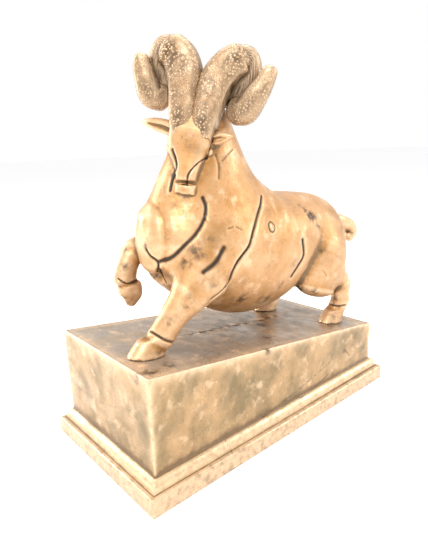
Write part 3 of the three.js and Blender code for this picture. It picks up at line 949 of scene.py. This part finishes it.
class Shader:
    """Short ways to add and link the nodes of one material."""

    def __init__(self, name):
        self.material = bpy.data.materials.new(name)
        self.material.use_nodes = True
        self.tree = self.material.node_tree
        self.tree.nodes.clear()
        self.place = self.add("ShaderNodeTexCoord").outputs["Object"]

    def add(self, kind, feeds=None, **settings):
        node = self.tree.nodes.new(kind)
        for key, value in settings.items():
            setattr(node, key, value)
        for key, value in (feeds or {}).items():
            if isinstance(value, bpy.types.NodeSocket):
                self.tree.links.new(value, node.inputs[key])
            else:
                node.inputs[key].default_value = value
        return node

    def attribute(self, name):
        return self.add("ShaderNodeAttribute", attribute_name=name).outputs["Fac"]

    def noise(self, per_metre, detail=4.0, vector=None):
        feeds = {"Vector": vector or self.place, "Scale": per_metre, "Detail": detail, "Roughness": 0.6}
        return self.add("ShaderNodeTexNoise", feeds).outputs["Fac"]

    def cells(self, per_metre):
        feeds = {"Vector": self.place, "Scale": per_metre}
        return self.add("ShaderNodeTexVoronoi", feeds).outputs["Distance"]

    def band(self, value, low, high, start=0.0, end=1.0):
        feeds = {0: value, 1: low, 2: high, 3: start, 4: end}
        return self.add("ShaderNodeMapRange", feeds, interpolation_type="SMOOTHSTEP").outputs[0]

    def math(self, operation, one, two):
        return self.add("ShaderNodeMath", {0: one, 1: two}, operation=operation).outputs[0]

    def mix(self, share, one, two):
        return self.add("ShaderNodeMix", {0: share, 6: one, 7: two}, data_type="RGBA").outputs[2]

    def bump(self, height, strength, distance, normal=None):
        feeds = {"Height": height, "Strength": strength, "Distance": distance}
        if normal is not None:
            feeds["Normal"] = normal
        return self.add("ShaderNodeBump", feeds).outputs[0]

    def finish(self, colour, roughness, metallic, normal):
        feeds = {"Base Color": colour, "Roughness": roughness, "Metallic": metallic, "Normal": normal}
        shader = self.add("ShaderNodeBsdfPrincipled", feeds)
        self.add("ShaderNodeOutputMaterial", {0: shader.outputs[0]})
        return self.material


def patina(shader, base, second, dark_share):
    """The mottled colour of the metal before its marks: two tones, ash bloom and dark specks."""
    broad = shader.band(shader.noise(22, 5), 0.38, 0.66)
    colour = shader.mix(broad, base, second)
    bloom = shader.band(shader.noise(60, 6), 0.52, 0.7, 0, 0.55)
    colour = shader.mix(bloom, colour, PALE)
    cloud = shader.band(shader.noise(34, 6), 0.55, 0.75, 0, dark_share)
    colour = shader.mix(cloud, colour, UMBER)
    speck = shader.band(shader.noise(430, 3), 0.58, 0.7, 0, 0.55)
    return shader.mix(speck, colour, UMBER)


def marked(shader, colour, ridge_share):
    """Adds worn ridges, dark hollows, creases darkened with patina and painted shade, and dark patches that are
    partly stains and partly painted shade and shadow, to a colour.
    """
    grain = shader.noise(150, 6)
    worn = shader.math("MULTIPLY", shader.attribute("ridge"), shader.band(grain, 0.3, 0.6, 0.4, ridge_share))
    colour = shader.mix(worn, colour, PALE)
    hollow = shader.band(shader.math("ADD", shader.attribute("hollow"), grain), 0.55, 1.35, 0, 0.9)
    colour = shader.mix(hollow, colour, UMBER)
    # Dark patches: stains and dark patina, and painted shade and shadow.
    stain_and_shade = shader.math("MULTIPLY", shader.attribute("stain_and_shade"), shader.band(shader.noise(120, 8), 0.36, 0.6, 0.15, 1.2))
    colour = shader.mix(shader.band(stain_and_shade, 0.1, 0.9, 0, 0.9), colour, BLACK_BROWN)
    # Creases: dark patina and painted shade.
    groove_patina_and_shade = shader.band(shader.attribute("groove_patina_and_shade"), 0.15, 0.85, 0, 0.95)
    return shader.mix(groove_patina_and_shade, colour, BLACK_BROWN)


def body_material():
    shader = Shader("ram_bronze")
    colour = marked(shader, patina(shader, TAN, OCHRE, 0.45), 0.7)
    roughness = shader.band(shader.noise(90, 5), 0.3, 0.7, 0.34, 0.52)
    normal = shader.bump(shader.noise(55, 4), 0.35, 0.0012)
    normal = shader.bump(shader.noise(300, 5), 0.55, 0.0004, normal)
    return shader.finish(colour, roughness, 0.5, normal)


def horn_material():
    """Pebbled bands of small light granules, and flat faces with fine lines along the horn."""
    shader = Shader("horn_bronze")
    pebble = shader.attribute("pebble")
    cells = shader.cells(400)
    along = shader.math("MULTIPLY", shader.attribute("travel"), 0.06)
    across = shader.math("MULTIPLY", shader.attribute("lateral"), 0.9)
    lines = shader.noise(1.0, 4, shader.add("ShaderNodeCombineXYZ", {0: along, 1: across}).outputs[0])
    colour = patina(shader, (0.30, 0.19, 0.10, 1), (0.22, 0.12, 0.05, 1), 0.6)
    dot = shader.band(cells, 0.15, 0.42, 1, 0)
    lively = shader.band(shader.noise(75, 5), 0.4, 0.62)
    granule = shader.mix(shader.math("MULTIPLY", dot, shader.band(lively, 0, 1, 0.35, 1)), colour, PALE)
    gap = shader.band(cells, 0.35, 0.62, 0, 0.75)
    granule = shader.mix(shader.math("MULTIPLY", gap, shader.band(lively, 0, 1, 0.45, 1)), granule, BLACK_BROWN)
    streak = shader.mix(shader.band(lines, 0.35, 0.62), (0.07, 0.045, 0.025, 1), (0.46, 0.32, 0.20, 1))
    colour = shader.mix(pebble, streak, granule)
    colour = marked(shader, colour, 0.6)
    height = shader.math("ADD", shader.math("MULTIPLY", dot, pebble),
                         shader.math("MULTIPLY", lines, shader.math("SUBTRACT", 1.0, pebble)))
    normal = shader.bump(shader.noise(70, 4), 0.3, 0.001)
    normal = shader.bump(height, 0.9, 0.0007, normal)
    return shader.finish(colour, shader.band(shader.noise(90, 5), 0.3, 0.7, 0.32, 0.5), 0.5, normal)


def plinth_material():
    """Brown bronze: greyer on the top, dark on the slab."""
    shader = Shader("plinth_bronze")
    colour = patina(shader, (0.40, 0.25, 0.12, 1), OLIVE, 0.5)
    top = patina(shader, (0.36, 0.26, 0.17, 1), ASH, 0.4)
    colour = shader.mix(shader.attribute("top"), colour, top)
    slab = patina(shader, (0.13, 0.085, 0.045, 1), BLACK_BROWN, 0.7)
    colour = shader.mix(shader.attribute("slab"), colour, slab)
    colour = marked(shader, colour, 0.8)
    roughness = shader.band(shader.noise(45, 6), 0.35, 0.65, 0.24, 0.46)
    normal = shader.bump(shader.noise(40, 5), 0.35, 0.0012)
    normal = shader.bump(shader.noise(350, 5), 0.5, 0.00035, normal)
    return shader.finish(colour, roughness, 0.5, normal)


# Putting the pieces on the frame


def dress(piece, material, node):
    piece.data.materials.append(material)
    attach(piece, "root")
    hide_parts(node)


def dress_ram():
    bronze = body_material()
    for piece in split_body(*worked_body()):
        dress(piece, bronze, "ram")
    horn_bronze = horn_material()
    for runs, way, name in ((LEFT_HORN, 1, "left_horn"), (RIGHT_HORN, -1, "right_horn")):
        dress(make_object(name, *horn_mesh(runs, way)), horn_bronze, "ram")


def dress_plinth():
    dress(make_object("plinth_block", *worked_plinth()), plinth_material(), "plinth")


# Floor and light


def make_floor():
    bpy.ops.mesh.primitive_plane_add(size=40)
    floor = bpy.context.object
    floor.name = "floor"
    shader = Shader("pale_floor")
    feeds = {"Base Color": (0.97, 0.97, 0.97, 1), "Roughness": 1.0}
    surface = shader.add("ShaderNodeBsdfPrincipled", feeds)
    shader.add("ShaderNodeOutputMaterial", {0: surface.outputs[0]})
    floor.data.materials.append(shader.material)
    floor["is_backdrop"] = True


def area_light(name, place, target, size, power):
    data = bpy.data.lights.new(name, "AREA")
    data.shape = "RECTANGLE"
    data.size = size[0]
    data.size_y = size[1]
    data.energy = power
    light = bpy.data.objects.new(name, data)
    light.location = place
    light.rotation_euler = (Vector(target) - Vector(place)).to_track_quat("-Z", "Y").to_euler()
    bpy.context.scene.collection.objects.link(light)


def make_light():
    middle = (0, 0, 0.22)
    area_light("key", (0.9, -1.3, 1.5), middle, (1.0, 1.0), 34)
    area_light("left_panel", (-1.5, -0.9, 0.7), middle, (0.7, 1.6), 30)
    area_light("right_panel", (1.3, 1.6, 1.1), middle, (0.8, 1.4), 22)
    area_light("above", (-0.2, 0.2, 1.8), middle, (1.2, 1.2), 22)
    world = bpy.data.worlds.new("studio")
    world.use_nodes = True
    background = world.node_tree.nodes["Background"]
    background.inputs["Color"].default_value = (1, 1, 1, 1)
    background.inputs["Strength"].default_value = 1.0
    bpy.context.scene.world = world
    bpy.context.scene.view_settings.view_transform = "Standard"


make_camera()
make_floor()
make_light()
dress_ram()
dress_plinth()

bpy.context.view_layer.update()
visual_box = [list(corner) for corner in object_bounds()]
